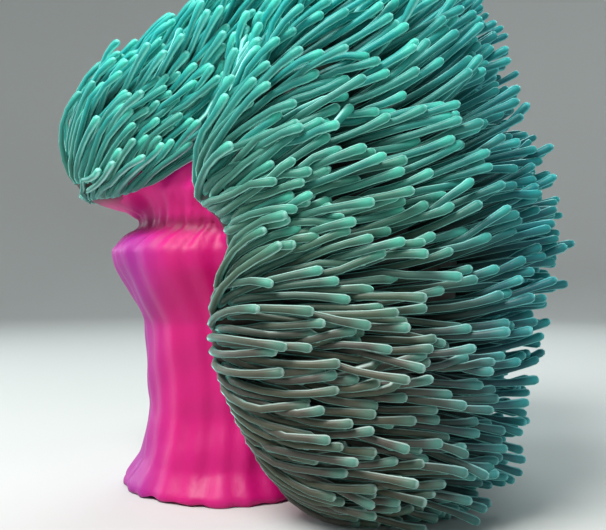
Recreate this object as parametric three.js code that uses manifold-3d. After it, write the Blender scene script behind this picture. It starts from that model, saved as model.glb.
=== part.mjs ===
// A magnificent sea anemone at life size, open in a current. A smooth column stands on
// its foot and carries a broad oral disc that is thrown over to one side, with its
// margin folded into lobes and finger-shaped tentacles all over its upper side.
//
// Millimetres, +Z up. The origin is the middle of the foot, on the floor. The mouth
// faces +X and upwards, so the animal's right side is -Y and its left side is +Y.
import * as THREE from 'three';
import { mergeVertices } from 'three/addons/utils/BufferGeometryUtils.js';
import Module from 'manifold-3d';

const wasm = await Module();
wasm.setup();
const { clamp, degToRad, radToDeg, lerp, smoothstep } = THREE.MathUtils;
const vector = (x, y, z) => new THREE.Vector3(x, y, z);
const direction = (x, y, z) => vector(x, y, z).normalize();

// ---- Driving dimensions -------------------------------------------------------------

const GAP = 0.3; // left between pieces that touch

// The disc is a closed form round DISC_CENTRE. Its surface is told by how far it
// reaches in each direction: to the bare underside, or to the side with tentacles.
const DISC_CENTRE = vector(78, 5, 190);
const BARE_SIDE = direction(-0.81, -0.04, -0.58);
const BARE_RADII = vector(96, 104, 128);
const BARE_POWER = 2.2;
const ORAL_RADII = vector(101, 146, 176);
const ORAL_POWER = 2.4;
const BED_DEPTH = [13, 50]; // bed of tentacle bases, where they lie flat and where they stand
const BED_RAMP = 14; // degrees over which the bed thickens, in from the margin

// Swellings and hollows of the side with tentacles: where, how high, how wide.
const LOBES = [
  { toward: direction(-1, 0.05, 0.4), rise: 93, spread: 30 }, // the lobe above the neck
  { toward: direction(-1, -0.1, 0.1), rise: 28, spread: 15 }, // its hanging edge
  { toward: direction(0.62, -0.42, 0.66), rise: -56, spread: 32 }, // flattened round the mouth
  { toward: direction(0.6, -0.15, -0.78), rise: -54, spread: 28 }, // drawn in low down
  { toward: direction(0.2, 0, 0.98), rise: 12, spread: 26 }, // the crown
  { toward: direction(0.8, 0.6, 0.1), rise: 18, spread: 35 },
  { toward: direction(-0.05, -0.48, -0.87), rise: 42, spread: 26 }, // rests on the floor
  { toward: direction(0, 0.5, -0.87), rise: 42, spread: 28 }, // rests on the floor
  { toward: direction(-0.42, -0.84, -0.34), rise: 17, spread: 27 },
  { toward: direction(-0.47, -0.71, -0.53), rise: 12, spread: 16 },
  { toward: direction(-0.55, -0.82, 0.15), rise: 12, spread: 16 },
  { toward: direction(-0.2, 1, 0.1), rise: 8, spread: 35 },
];
// Valleys that run in from the margin, deepest at the margin.
const FOLDS = [
  { from: direction(-0.7, -0.57, 0.43), to: direction(0.15, -0.45, 0.88), depth: 42, width: 9 },
  { from: direction(-0.48, -0.86, -0.15), to: direction(0.45, -0.88, 0), depth: 10, width: 7 },
  { from: direction(-0.5, 0.75, 0.4), to: direction(0.3, 0.5, 0.8), depth: 30, width: 9 },
  { from: direction(-0.3, 0.9, -0.3), to: direction(0.6, 0.75, -0.1), depth: 14, width: 8 },
];
// The margin, in degrees from BARE_SIDE, and the notches that open it wider. The
// angle round it is 0 at the top and 90 on the -Y side.
const MARGIN_OPENING = 45;
const MARGIN_NOTCHES = [
  { at: 0, widen: -5, spread: 25 },
  { at: 42, widen: 28, spread: 12 },
  { at: 70, widen: 17, spread: 16 },
  { at: 180, widen: 22, spread: 30 },
  { at: 277, widen: 21, spread: 18 },
];
const MARGIN_DRAWN_IN = 0.07; // how much the edge curls under, as a share of its reach
const MARGIN_CURL = 7; // degrees over which it does
const UNDERCUT = [-7, 2]; // degrees past the margin between underside and upper side

// Tentacles: blunt fingers, a little swollen at the tip. The animal has about fifteen times as
// many, some 5 mm thick, so each of these is thicker than a real one.
const TENTACLE = { length: 70, baseRadius: 4.3, waistRadius: 3.6, tipRadius: 4, sides: 5 };
const STRAIGHT_FROM = 0.35; // a tentacle that stands out more than this is nearly straight
const STRAIGHT_START = 0.42; // and starts within the bed, as a share of its length
const TENTACLE_STEPS = 9;
const ROOT_DEPTH = 3; // how deep a tentacle starts in the flesh
const ROOT_LEAN = 1.1; // how much it leans with the current at its root
const TENTACLE_TURN = 0.5; // how fast it gives way to the current, from 0 to 1
// Its height over the flesh: full within a ramp of degrees from the margin, reached by a
// share of its length, and less heeded by one that stands upright anyway.
const LIFT = { height: 21, atMargin: 0.6, ramp: [4, 29], by: 0.65, softness: 14, upright: 0.3 };
const LIFT_LIMITS = [-0.55, 0.9]; // how strongly it is drawn down and up to that height
const UNEVEN = { length: 0.14, lift: 0.35, along: 0.07, across: 0.12 }; // from one to the next
const MARGIN_SWEEP = 1.2; // how strongly those near the margin bend in over the disc
const MARGIN_SWEEP_REACH = 14; // degrees over which that fades
const MARGIN_ROW = { inward: 2, spacing: 25 };
const FIELD_DIRECTIONS = 126; // even directions round the disc, of which the field takes its own
const FIELD_INSIDE = 13; // degrees between the margin and the field
const BARE_RING = 19; // degrees round the mouth that carry no tentacles
const BARE_RING_EDGE = 4; // degrees over which the bed of tentacles ends there

// The current carries them towards +X, and more upwards the higher they stand. It spreads
// to both sides, and in the shelter beyond the mouth it evens out to one slope.
const CURRENT_HEIGHTS = [0, 60, 120, 190, 250, 320, 380];
const CURRENT_SLOPES = [-14, -9, 0, 14, 28, 38, 42];
const CURRENT_SPREADING = { share: 0.1, reach: 80 };
const SHELTER = { x: [120, 240], share: 0.45, slope: 8 };

// Column: height of each ring, its radius, and how far its middle stands off in x.
const COLUMN_RINGS = [
  [0, 78, 0],
  [5, 78, 0],
  [20, 67, 0],
  [56, 59, 0],
  [120, 59, -5],
  [160, 68, -17],
  [172, 69, -19],
  [181, 64, -14],
  [188, 57, -7],
  [200, 60, -5],
  [213, 70, -2],
  [226, 76, 12],
  [234, 78, 20],
];
const COLUMN_SIDES = 20;
const COLUMN_CUTS = [10, 84, 146, 186]; // heights between its lengths

// Mouth: an oval slit with swollen lips, on a bare plate of the disc.
const PLATE_RADIUS = 40;
const PLATE_DEPTH = 26;
const PLATE_SIDES = 20;
const LIPS = { length: 40, width: 24, thickness: 9, sides: 14, tubeSides: 6 };

// Cuts that part the disc, as a height over the origin and a slope towards +X.
const LOBE_CUT = { height: 228, slope: 43 };
const UPPER_CUT = { height: 168, slope: 12 };
const LOWER_CUT = { height: 92, slope: 1 };

const COLOURS = {
  foot: '#b02a6c',
  column: '#dc2f87',
  fold: '#a61f66',
  lobe: '#4f9c80',
  upper: '#47927a',
  middle: '#4d7f78',
  lower: '#6d7378',
  plate: '#3c5f50',
  lips: '#b9c78f',
};

// ---- Form of the disc ---------------------------------------------------------------

const MOUTH_SIDE = BARE_SIDE.clone().negate();
const UPWARD = vector(0, 0, 1).projectOnPlane(BARE_SIDE).normalize();
const RIGHTWARD = UPWARD.clone().cross(BARE_SIDE);

const bell = (x) => Math.exp(-x * x);
const degreesBetween = (a, b) => radToDeg(Math.acos(clamp(a.dot(b), -1, 1)));

function marginOpening(around) {
  const turned = (at) => THREE.MathUtils.euclideanModulo(around - at + 180, 360) - 180;
  return MARGIN_NOTCHES.reduce(
    (sum, { at, widen, spread }) => sum + widen * bell(turned(at) / spread),
    MARGIN_OPENING,
  );
}

/** Unit direction at an angle round the margin and an opening from BARE_SIDE, degrees. */
function directionAt(around, opening) {
  const across = UPWARD.clone().multiplyScalar(Math.cos(degToRad(around)));
  across.addScaledVector(RIGHTWARD, Math.sin(degToRad(around)));
  return across
    .multiplyScalar(Math.sin(degToRad(opening)))
    .addScaledVector(BARE_SIDE, Math.cos(degToRad(opening)));
}

/** Degrees from the margin, positive on the side with tentacles. */
function pastMargin(toward) {
  const around = radToDeg(Math.atan2(toward.dot(RIGHTWARD), toward.dot(UPWARD)));
  return degreesBetween(toward, BARE_SIDE) - marginOpening(around);
}

function ovalReach(toward, radii, power) {
  const share = (axis) => Math.abs(toward[axis] / radii[axis]) ** power;
  return (share('x') + share('y') + share('z')) ** (-1 / power);
}

/** How deep a fold is in a direction: full at its start, nothing at its end. */
function foldDepth(toward, { from, to, depth, width }) {
  const pole = from.clone().cross(to).normalize();
  const side = pole.clone().cross(from);
  const off = Math.asin(clamp(toward.dot(pole), -1, 1));
  const along = Math.atan2(toward.dot(side), toward.dot(from));
  const length = Math.acos(from.dot(to));
  const share = clamp(along / length, 0, 1);
  const away = radToDeg(Math.hypot(off, along - share * length));
  return depth * (1 - smoothstep(share, 0, 1)) * bell(away / width);
}

/** Distance from DISC_CENTRE to the flesh, under the bed of tentacles. */
function fleshReach(toward) {
  const past = pastMargin(toward);
  let oral = ovalReach(toward, ORAL_RADII, ORAL_POWER);
  for (const lobe of LOBES) oral += lobe.rise * bell(degreesBetween(toward, lobe.toward) / lobe.spread);
  for (const fold of FOLDS) oral -= foldDepth(toward, fold);
  oral *= 1 - MARGIN_DRAWN_IN * Math.exp(-Math.max(past, 0) / MARGIN_CURL);
  return lerp(ovalReach(toward, BARE_RADII, BARE_POWER), oral, smoothstep(past, ...UNDERCUT));
}

/** Direction that the current carries a tentacle in at a place. */
function current(place) {
  const heights = CURRENT_HEIGHTS;
  const above = heights.findIndex((height) => height > place.z);
  const i = clamp(above < 0 ? heights.length : above, 1, heights.length - 1) - 1;
  const share = clamp((place.z - heights[i]) / (heights[i + 1] - heights[i]), 0, 1);
  const open = lerp(CURRENT_SLOPES[i], CURRENT_SLOPES[i + 1], share);
  const sheltered = smoothstep(place.x, ...SHELTER.x);
  const angle = degToRad(open * (1 - SHELTER.share * sheltered) + SHELTER.slope * sheltered);
  const sideways = CURRENT_SPREADING.share * Math.tanh(place.y / CURRENT_SPREADING.reach);
  return direction(Math.cos(angle), sideways, Math.sin(angle));
}

/** How far the tentacles stand out: 0 where they lie along the flesh, 1 straight out. */
function standing(toward) {
  return smoothstep(current(fleshPoint(toward)).dot(toward), 0, 1);
}

/** Distance to the top of the bed that the tentacle bases make. */
function bedReach(toward) {
  const flesh = fleshReach(toward);
  const ramp = smoothstep(pastMargin(toward), 0, BED_RAMP);
  const fromMouth = degreesBetween(toward, MOUTH_SIDE) - BARE_RING;
  const mouth = smoothstep(fromMouth, -BARE_RING_EDGE, BARE_RING_EDGE);
  return flesh + lerp(...BED_DEPTH, standing(toward)) * ramp * mouth;
}

const fleshPoint = (toward) => DISC_CENTRE.clone().addScaledVector(toward, fleshReach(toward));

/** Outward normal of the flesh, from four points close by. */
function fleshNormal(toward) {
  const step = 0.02;
  const a = vector(0.12, 0.93, 0.31).cross(toward).normalize();
  const b = toward.clone().cross(a);
  const point = (axis, way) => fleshPoint(toward.clone().addScaledVector(axis, way * step).normalize());
  const alongA = point(a, 1).sub(point(a, -1));
  const alongB = point(b, 1).sub(point(b, -1));
  const normal = alongA.cross(alongB).normalize();
  return normal.dot(toward) < 0 ? normal.negate() : normal;
}

// ---- Solids -------------------------------------------------------------------------

/**
 * A closed geometry as a solid, with shared vertices merged and empty faces dropped,
 * and then each vertex moved by a function of its place.
 */
function solidOf(geometry, move = (place) => place) {
  const bare = geometry.clone();
  bare.deleteAttribute('normal');
  bare.deleteAttribute('uv');
  const { index, attributes } = mergeVertices(bare, 1e-3);
  const corners = Array.from(index.array);
  const triangles = corners.filter((_, i) => {
    const [a, b, c] = corners.slice(i - (i % 3), i - (i % 3) + 3);
    return a !== b && b !== c && c !== a;
  });
  const places = Array.from({ length: attributes.position.count }, (_, i) => (
    move(vector(0, 0, 0).fromBufferAttribute(attributes.position, i)).toArray()
  ));
  const mesh = new wasm.Mesh({
    numProp: 3,
    vertProperties: new Float32Array(places.flat()),
    triVerts: new Uint32Array(triangles),
  });
  return new wasm.Manifold(mesh);
}

/** The largest of the bodies that a cut leaves. */
function largest(solid) {
  return solid.decompose().reduce((a, b) => (b.volume() > a.volume() ? b : a));
}

/** The disc: rings from the underside to the margin and on to the mouth. */
function discSolid(reachOf) {
  const sides = 30;
  const underRings = 3;
  const overRings = 12;
  const sphere = new THREE.SphereGeometry(1, sides, underRings + overRings);
  return solidOf(sphere, (place) => {
    const around = radToDeg(Math.atan2(place.z, place.x));
    const ring = (Math.acos(clamp(place.y, -1, 1)) / Math.PI) * (underRings + overRings);
    const edge = marginOpening(around) + UNDERCUT[1];
    const opening = ring < underRings
      ? (ring / underRings) * edge
      : lerp(edge, 180, (ring - underRings) / overRings);
    const toward = directionAt(around, opening);
    return toward.clone().multiplyScalar(reachOf(toward)).add(DISC_CENTRE);
  });
}

/** Half of space beyond a plane, as one large block. */
function halfSpace(point, normal) {
  const size = 1600;
  const block = new THREE.BoxGeometry(size, size, size);
  block.translate(0, 0, size / 2);
  block.applyQuaternion(new THREE.Quaternion().setFromUnitVectors(vector(0, 0, 1), normal));
  return solidOf(block.translate(point.x, point.y, point.z));
}

/** The two pieces of a solid beyond and before a plane, with a gap between them. */
function parted(solid, point, normal) {
  const offset = normal.clone().multiplyScalar(GAP / 2);
  const before = halfSpace(point.clone().sub(offset), normal);
  const beyond = halfSpace(point.clone().add(offset), normal.clone().negate());
  return [solid.subtract(beyond), solid.subtract(before)];
}

// ---- Tentacles ----------------------------------------------------------------------

/** The current where it can't run into the flesh, and swept in from the margin near it. */
function currentOver(place, toward, normal) {
  const inward = toward.clone().multiplyScalar(toward.dot(BARE_SIDE)).sub(BARE_SIDE).normalize();
  const sweep = MARGIN_SWEEP * Math.exp(-Math.max(pastMargin(toward), 0) / MARGIN_SWEEP_REACH);
  const flow = current(place);
  flow.addScaledVector(normal, -Math.min(flow.dot(normal), 0));
  return flow.addScaledVector(inward, sweep).normalize();
}

/** Middle line of a tentacle: it leaves the flesh and gives way to the current. */
function tentacleLine(toward, number) {
  const sway = (k) => Math.sin(number * 12.9898 + k * 78.233);
  const root = fleshPoint(toward);
  const normal = fleshNormal(toward);
  const heading = currentOver(root, toward, normal).multiplyScalar(ROOT_LEAN).add(normal).normalize();
  const step = (TENTACLE.length * (1 + UNEVEN.length * sway(1))) / TENTACLE_STEPS;
  const raised = lerp(LIFT.atMargin, 1, smoothstep(pastMargin(toward), ...LIFT.ramp));
  const lift = LIFT.height * (1 + UNEVEN.lift * sway(2)) * raised;
  const place = root.clone().addScaledVector(normal, -ROOT_DEPTH);
  const line = [place.clone()];
  for (let k = 1; k <= TENTACLE_STEPS; k += 1) {
    const outward = place.clone().sub(DISC_CENTRE);
    const distance = outward.length();
    outward.normalize();
    const over = fleshNormal(outward);
    const height = (distance - fleshReach(outward)) * over.dot(outward);
    const goal = currentOver(place, outward, over);
    const wanted = (lift * smoothstep(k / TENTACLE_STEPS, 0, LIFT.by) - height) / LIFT.softness;
    const held = goal.dot(over) > STRAIGHT_FROM ? LIFT.upright : 1;
    goal.addScaledVector(over, held * clamp(wanted, ...LIFT_LIMITS));
    goal.add(vector(sway(3) * UNEVEN.along, sway(4) * UNEVEN.across, sway(5) * UNEVEN.across)).normalize();
    heading.lerp(goal, TENTACLE_TURN).normalize();
    place.addScaledVector(heading, step);
    place.z = Math.max(place.z, TENTACLE.waistRadius);
    line.push(place.clone());
  }
  return new THREE.CatmullRomCurve3(line);
}

/** One tentacle: a turned finger, ring by ring set on its middle line. */
function tentacleSolid(toward, number) {
  const { baseRadius, waistRadius, tipRadius, sides } = TENTACLE;
  const upright = standing(toward) > STRAIGHT_FROM;
  const start = upright ? STRAIGHT_START : 0; // a straight one shows only beyond the bed
  const waist = upright ? [] : [[waistRadius, 0.5]];
  const rings = [[0, start], [baseRadius, start], ...waist, [tipRadius, 0.95], [0, 1]];
  const profile = rings.map(([radius], ring) => new THREE.Vector2(radius, ring));
  const line = tentacleLine(toward, number);
  const turn = new THREE.Quaternion();
  let heading = vector(0, 1, 0);
  const frames = rings.map(([, share]) => {
    const next = line.getTangent(share);
    turn.premultiply(new THREE.Quaternion().setFromUnitVectors(heading, next));
    heading = next;
    return { middle: line.getPoint(share), turn: turn.clone() };
  });
  return solidOf(new THREE.LatheGeometry(profile, sides), (place) => {
    const frame = frames[Math.round(place.y)];
    return vector(place.x, 0, place.z).applyQuaternion(frame.turn).add(frame.middle);
  });
}

/** Roots at an even spacing along the margin, a little inside it. */
function marginRoots() {
  const { inward, spacing } = MARGIN_ROW;
  const steps = 1440;
  const ring = Array.from({ length: steps + 1 }, (_, i) => {
    const around = (360 * i) / steps;
    return directionAt(around, marginOpening(around) + inward);
  });
  const roots = [];
  let travelled = spacing / 2;
  ring.slice(1).forEach((toward, i) => {
    travelled += fleshPoint(toward).distanceTo(fleshPoint(ring[i]));
    if (travelled < spacing) return;
    roots.push(toward);
    travelled -= spacing;
  });
  return roots;
}

/** Roots over the rest of the disc, on a golden spiral. */
function fieldRoots() {
  const golden = Math.PI * (3 - Math.sqrt(5));
  return Array.from({ length: FIELD_DIRECTIONS }, (_, i) => {
    const x = 1 - (2 * i + 1) / FIELD_DIRECTIONS;
    const r = Math.sqrt(1 - x * x);
    return vector(x, r * Math.cos(i * golden), r * Math.sin(i * golden));
  }).filter((toward) => pastMargin(toward) > FIELD_INSIDE
    && degreesBetween(toward, MOUTH_SIDE) > BARE_RING);
}

// ---- Column and mouth ---------------------------------------------------------------

/** The column, or with an allowance the room that it takes. */
function columnSolid(allowance = 0) {
  const top = COLUMN_RINGS.at(-1)[0];
  const rings = COLUMN_RINGS.map(([z, r]) => new THREE.Vector2(r + allowance, z));
  const profile = [new THREE.Vector2(0, 0), ...rings, new THREE.Vector2(0, top)];
  const turned = new THREE.LatheGeometry(profile, COLUMN_SIDES).rotateX(Math.PI / 2);
  return solidOf(turned, (place) => {
    const upper = Math.max(COLUMN_RINGS.findIndex(([z]) => z >= place.z - 0.01), 1);
    const [[z0, , x0], [z1, , x1]] = [COLUMN_RINGS[upper - 1], COLUMN_RINGS[upper]];
    return vector(place.x + lerp(x0, x1, (place.z - z0) / (z1 - z0)), place.y, place.z);
  });
}

/** Turns a form made along +Z to stand on the mouth, along the mouth's own axis. */
function ontoMouth(geometry) {
  const seat = fleshPoint(MOUTH_SIDE);
  const turn = new THREE.Matrix4().makeBasis(UPWARD, MOUTH_SIDE.clone().cross(UPWARD), MOUTH_SIDE);
  return geometry.applyMatrix4(turn.setPosition(seat));
}

function plateCutter(allowance) {
  const radius = PLATE_RADIUS + allowance;
  const depth = PLATE_DEPTH + allowance;
  const plug = new THREE.CylinderGeometry(radius, radius, 2 * depth, PLATE_SIDES);
  return solidOf(ontoMouth(plug.rotateX(Math.PI / 2)));
}

function lipsSolid() {
  const { length, width, thickness, sides, tubeSides } = LIPS;
  const ring = new THREE.TorusGeometry((width - thickness) / 2, thickness / 2, tubeSides, sides);
  ring.scale((length - thickness) / (width - thickness), 1, 1);
  return solidOf(ontoMouth(ring));
}

// ---- The animal, parted into named pieces -------------------------------------------

const MATERIALS = Object.fromEntries(Object.entries(COLOURS).map(([name, color]) => [
  name,
  new THREE.MeshStandardMaterial({ color, roughness: 0.42, metalness: 0 }),
]));

function pieceOf(name, solid, material) {
  const { numProp, vertProperties, triVerts } = largest(solid).getMesh();
  const geometry = new THREE.BufferGeometry();
  const positions = Array.from({ length: vertProperties.length / numProp }, (_, i) => (
    [0, 1, 2].map((k) => vertProperties[i * numProp + k])
  )).flat();
  geometry.setAttribute('position', new THREE.Float32BufferAttribute(positions, 3));
  geometry.setIndex(Array.from(triVerts));
  geometry.computeVertexNormals();
  const mesh = new THREE.Mesh(geometry, MATERIALS[material]);
  mesh.name = name;
  return mesh;
}

/** A cut that rises towards +X, as a point on it and its upward normal. */
function slopingCut({ height, slope }) {
  const angle = degToRad(slope);
  return [vector(0, 0, height), direction(-Math.sin(angle), 0, Math.cos(angle))];
}

const anemone = new THREE.Group();
anemone.name = 'sea_anemone';

const floor = halfSpace(vector(0, 0, 0), vector(0, 0, -1));
const bed = discSolid(bedReach).subtract(floor);
const clearance = discSolid((toward) => bedReach(toward) + GAP);

const roots = [...marginRoots(), ...fieldRoots()];
const tentacles = wasm.Manifold.union(roots.map((toward, number) => tentacleSolid(toward, number)));
const tentacled = bed.add(tentacles.subtract(columnSolid(GAP)))
  .subtract(plateCutter(GAP))
  .subtract(floor);

const [lobe, below] = parted(tentacled, ...slopingCut(LOBE_CUT));
anemone.add(pieceOf('disc_upper_lobe', lobe, 'lobe'));

const sides = parted(below, vector(0, DISC_CENTRE.y, 0), vector(0, 1, 0));
['left', 'right'].forEach((side, i) => {
  const [upper, rest] = parted(sides[i], ...slopingCut(UPPER_CUT));
  const [middle, lower] = parted(rest, ...slopingCut(LOWER_CUT));
  anemone.add(pieceOf(`disc_${side}_upper`, upper, 'upper'));
  anemone.add(pieceOf(`disc_${side}_middle`, middle, 'middle'));
  anemone.add(pieceOf(`disc_${side}_lower`, lower, 'lower'));
});

const plate = bed.intersect(plateCutter(0));
anemone.add(pieceOf('mouth_plate', plate, 'plate'));
anemone.add(pieceOf('mouth_lips', lipsSolid().subtract(clearance), 'lips'));

const lengths = ['pedal_disc', 'column_base', 'column_middle', 'column_fold', 'column_neck'];
const tints = ['foot', 'column', 'column', 'fold', 'column'];
let column = columnSolid().subtract(clearance);
lengths.forEach((name, i) => {
  const cut = COLUMN_CUTS[i];
  const [above, length] = cut ? parted(column, vector(0, 0, cut), vector(0, 0, 1)) : [null, column];
  anemone.add(pieceOf(name, length, tints[i]));
  column = above;
});

export default anemone;
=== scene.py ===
# %% [markdown]
# # A magnificent sea anemone, life size
#
# The animal stands on a smooth magenta column. On top it carries a broad disc, thrown over
# to one side by the current, whose margin is folded into lobes. The disc's upper side is
# covered with nearly two thousand finger-shaped tentacles, all streaming the same way.
#
# The solids of the frame give the size and the outline. Here one skin takes their place, and
# the tentacles grow out of it, one by one, as joined meshes. Everything is in metres.

# %% Load the frame
import math

import bmesh
import bpy
import numpy as np
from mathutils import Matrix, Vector
from mathutils.kdtree import KDTree


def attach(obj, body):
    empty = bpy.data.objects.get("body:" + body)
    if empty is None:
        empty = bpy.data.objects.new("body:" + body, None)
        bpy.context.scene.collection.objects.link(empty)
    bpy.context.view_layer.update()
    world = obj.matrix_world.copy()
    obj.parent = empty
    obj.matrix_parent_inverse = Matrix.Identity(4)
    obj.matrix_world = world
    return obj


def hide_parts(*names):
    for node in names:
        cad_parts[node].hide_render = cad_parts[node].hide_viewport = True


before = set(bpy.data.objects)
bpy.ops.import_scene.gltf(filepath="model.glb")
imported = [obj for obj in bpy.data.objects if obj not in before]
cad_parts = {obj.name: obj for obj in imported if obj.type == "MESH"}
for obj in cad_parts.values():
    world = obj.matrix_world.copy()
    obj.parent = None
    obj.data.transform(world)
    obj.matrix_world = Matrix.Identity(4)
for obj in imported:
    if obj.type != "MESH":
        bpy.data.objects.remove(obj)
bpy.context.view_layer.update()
MM = 0.001
rng = np.random.default_rng(20)

# %% [markdown]
# ## The camera
#
# The camera comes first, because it settles what has to be fine and what may be plain. It
# looks level along +Y from the animal's right side. A lens can be given as a field of view
# or as a focal length. Here the focal length in picture widths is the known value, so the
# lens follows from it and the sensor's width.

# %% Camera
PICTURE_WIDTH = 606  # pixels
FOCAL_LENGTH = 790  # pixels
CAMERA_PLACE = Vector((0.056, -0.600, 0.161))

camera_data = bpy.data.cameras.new("camera")
camera_data.sensor_width = 36
camera_data.lens = FOCAL_LENGTH / PICTURE_WIDTH * camera_data.sensor_width
camera_data.clip_start = 0.01
camera = bpy.data.objects.new("camera", camera_data)
camera.location = CAMERA_PLACE
camera.rotation_euler = (math.radians(90), 0, 0)
bpy.context.collection.objects.link(camera)
bpy.context.scene.camera = camera
print("lens", round(camera_data.lens, 1), "mm")

# %% [markdown]
# ## The form of the disc
#
# A body like this could be sculpted by hand, but a formula is easier to change and to grow
# things on. The disc is told as a reach: how far its surface lies from a centre in each
# direction. Two ovals give the bare underside and the side with tentacles, bell-shaped
# lobes swell it, and valleys fold it from the margin inwards. The solids use the same form.

# %% Values of the disc
DISC_CENTRE = np.array([78, 5, 190]) * MM
BARE_RADII, BARE_POWER = np.array([96, 104, 128]) * MM, 2.2
ORAL_RADII, ORAL_POWER = np.array([101, 146, 176]) * MM, 2.4
LOBES = [  # toward, rise, spread in degrees
    ((-1, 0.05, 0.4), 93 * MM, 30),  # the lobe above the neck
    ((-1, -0.1, 0.1), 28 * MM, 15),  # its hanging edge
    ((0.62, -0.42, 0.66), -56 * MM, 32),  # flattened round the mouth
    ((0.6, -0.15, -0.78), -54 * MM, 28),  # drawn in low down, away from the column
    ((0.2, 0, 0.98), 12 * MM, 26),  # the crown
    ((0.8, 0.6, 0.1), 18 * MM, 35),
    ((-0.05, -0.48, -0.87), 42 * MM, 26),  # rests on the floor
    ((0.0, 0.5, -0.87), 42 * MM, 28),  # rests on the floor
    ((-0.42, -0.84, -0.34), 17 * MM, 27),
    ((-0.47, -0.71, -0.53), 12 * MM, 16),
    ((-0.55, -0.82, 0.15), 12 * MM, 16),
    ((-0.2, 1, 0.1), 8 * MM, 35),
]
FOLDS = [  # from, to, depth, width in degrees
    ((-0.70, -0.57, 0.43), (0.15, -0.45, 0.88), 42 * MM, 9),
    ((-0.48, -0.86, -0.15), (0.45, -0.88, 0), 10 * MM, 7),
    ((-0.5, 0.75, 0.4), (0.3, 0.5, 0.8), 30 * MM, 9),
    ((-0.3, 0.9, -0.3), (0.6, 0.75, -0.1), 14 * MM, 8),
]
MARGIN_OPENING = 45  # degrees between the margin and the middle of the bare side
MARGIN_NOTCHES = [  # at, widen, spread in degrees
    (0, -5, 25), (42, 28, 12), (70, 17, 16), (180, 22, 30), (277, 21, 18),
]
MARGIN_DRAWN_IN, MARGIN_CURL = 0.07, 7  # share of the reach, and over how many degrees
EDGE_FROM, EDGE_WIDTH = -7, 9  # degrees from the margin where one oval gives way to the other
print(len(LOBES), "lobes and", len(FOLDS), "folds")


# %% Words for directions
def unit(v):
    v = np.asarray(v, float)
    return v / np.linalg.norm(v, axis=-1, keepdims=True)


def dot(a, b):
    return (a * b).sum(-1)


def smooth(t):
    t = np.clip(t, 0, 1)
    return t * t * (3 - 2 * t)


def degrees_between(a, b):
    return np.degrees(np.arccos(np.clip(dot(a, b), -1, 1)))


BARE_SIDE = unit([-0.81, -0.04, -0.58])
MOUTH_SIDE = -BARE_SIDE
UPWARD = unit(np.array([0, 0, 1]) - BARE_SIDE[2] * BARE_SIDE)
RIGHTWARD = np.cross(UPWARD, BARE_SIDE)
print("the mouth faces", MOUTH_SIDE.round(2))


# %% The margin
def margin_opening(around):
    opening = np.full(np.shape(around), float(MARGIN_OPENING))
    for at, widen, spread in MARGIN_NOTCHES:
        turned = np.mod(around - at + 180, 360) - 180
        opening = opening + widen * np.exp(-((turned / spread) ** 2))
    return opening


def direction_at(around, opening):
    """Unit direction at an angle round the margin and an opening from the bare side."""
    a, o = np.radians(around)[..., None], np.radians(opening)[..., None]
    return BARE_SIDE * np.cos(o) + (UPWARD * np.cos(a) + RIGHTWARD * np.sin(a)) * np.sin(o)


def past_margin(toward):
    """Degrees from the margin, positive on the side with tentacles."""
    around = np.degrees(np.arctan2(toward @ RIGHTWARD, toward @ UPWARD))
    return degrees_between(toward, BARE_SIDE) - margin_opening(around)


openings = margin_opening(np.arange(360))
print("the margin opens", openings.min().round(), "to", openings.max().round(), "degrees")


# %% Reach of the disc
def oval_reach(toward, radii, power):
    return (np.abs(toward / radii) ** power).sum(-1) ** (-1 / power)


def fold_depth(toward, start, end, depth, width):
    start, end = unit(start), unit(end)
    pole = unit(np.cross(start, end))
    off = np.arcsin(np.clip(toward @ pole, -1, 1))
    along = np.arctan2(toward @ np.cross(pole, start), toward @ start)
    length = np.arccos(start @ end)
    share = np.clip(along / length, 0, 1)
    away = np.degrees(np.hypot(off, along - share * length))
    return depth * (1 - smooth(share)) * np.exp(-((away / width) ** 2))


def flesh_reach(toward):
    """Distance from the disc's centre to its skin."""
    past = past_margin(toward)
    oral = oval_reach(toward, ORAL_RADII, ORAL_POWER)
    for lobe, rise, spread in LOBES:
        oral = oral + rise * np.exp(-((degrees_between(toward, unit(lobe)) / spread) ** 2))
    for fold in FOLDS:
        oral = oral - fold_depth(toward, *fold)
    oral = oral * (1 - MARGIN_DRAWN_IN * np.exp(-np.maximum(past, 0) / MARGIN_CURL))
    share = smooth((past - EDGE_FROM) / EDGE_WIDTH)
    return oval_reach(toward, BARE_RADII, BARE_POWER) * (1 - share) + oral * share


def flesh_point(toward):
    return DISC_CENTRE + toward * flesh_reach(toward)[..., None]


def flesh_normal(toward):
    """Outward normal of the disc's skin, from four points close by."""
    step, slanting = 0.012, [0.12, 0.93, 0.31]
    a = unit(np.cross(toward, slanting))
    b = np.cross(toward, a)
    along_a = flesh_point(unit(toward + step * a)) - flesh_point(unit(toward - step * a))
    along_b = flesh_point(unit(toward + step * b)) - flesh_point(unit(toward - step * b))
    normal = unit(np.cross(along_a, along_b))
    return normal * np.sign(dot(normal, toward))[..., None]


print("reach towards the crown", round(float(flesh_reach(np.array([[0.0, 0, 1]]))[0]), 3), "m")

# %% [markdown]
# ## The skin: disc and column as one
#
# The real animal is one sac of flesh with no seam. Two closed forms are made with
# operators, a sphere drawn out to the disc's reach and a profile spun into the column. A
# boolean would leave a hard edge where they meet, so a voxel remesh melts them into one
# skin instead, and a few smoothing passes round the join as flesh would be.

# %% Column profile
COLUMN_RINGS = np.array([  # height, radius, how far the middle stands off in x
    (0, 78, 0), (5, 78, 0), (20, 67, 0), (56, 59, 0), (120, 59, -5), (160, 68, -17), (172, 69, -19),
    (181, 64, -14), (188, 57, -7), (200, 60, -5), (213, 70, -2), (226, 76, 12), (234, 78, 20),
]) * MM
COLUMN_SIDES = 96
RING_SPACING = 2.5 * MM


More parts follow.
